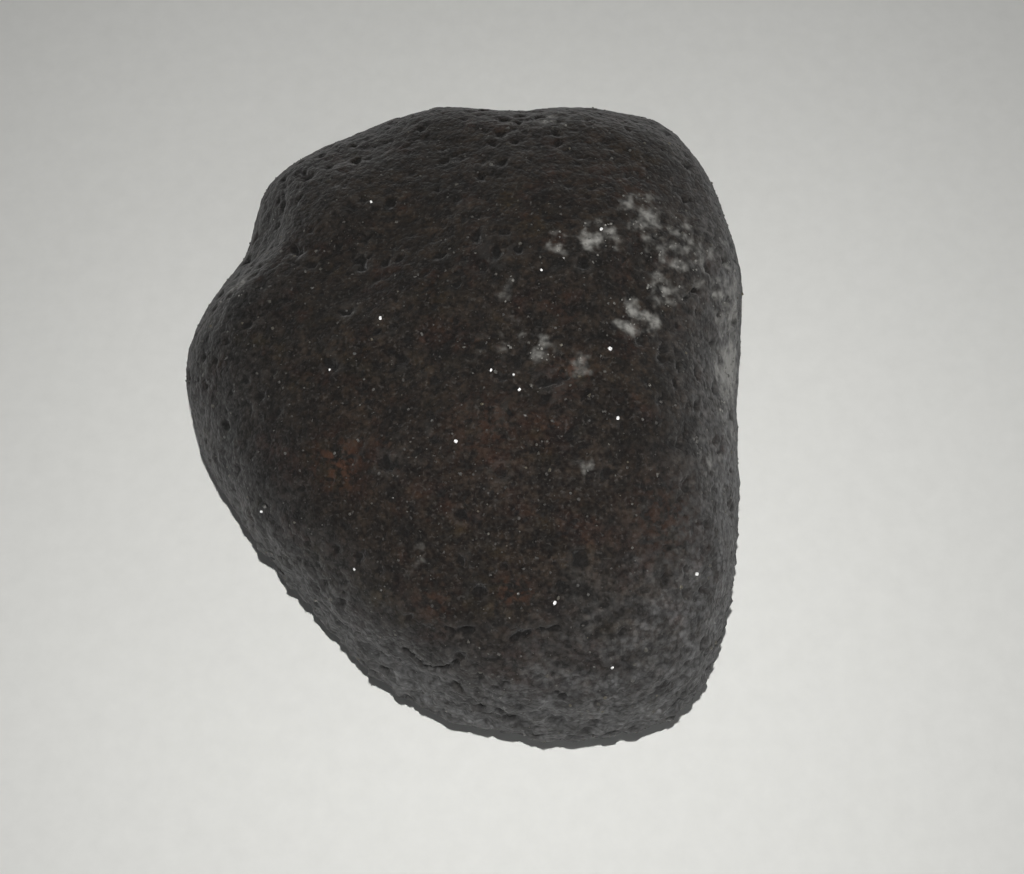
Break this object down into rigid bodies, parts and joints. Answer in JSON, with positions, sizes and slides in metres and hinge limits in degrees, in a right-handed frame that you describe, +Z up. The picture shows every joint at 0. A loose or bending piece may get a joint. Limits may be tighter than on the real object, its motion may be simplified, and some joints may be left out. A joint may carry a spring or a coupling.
{
  "type": "lava rock",
  "caption": "Palm-sized worn lava stone with a rounded heart-like plan, a low domed top, a notch on one side and a small flat to rest on.",
  "frame": {"origin": "middle of the plan, on the plane that the stone rests on", "axes": "+Y along the stone's longest side, +X across it, +Z up, away from the face that it rests on"},
  "size_m": [0.056, 0.065, 0.03],
  "materials": {
    "dark_lava": "rough, finely porous charcoal lava, worn smooth over the rounded parts, with brown rust tints, pale mineral dust and tiny bright crystals",
    "bright_crystal": "clear to honey-coloured crystals under half a millimetre across, with bright faces, set in the lava",
    "pale_mineral": "chalky off-white mineral crumbs and powder, dry and matt"
  },
  "bodies": {
    "root": {"lava_rock": "dark_lava"}
  },
  "joints": []
}
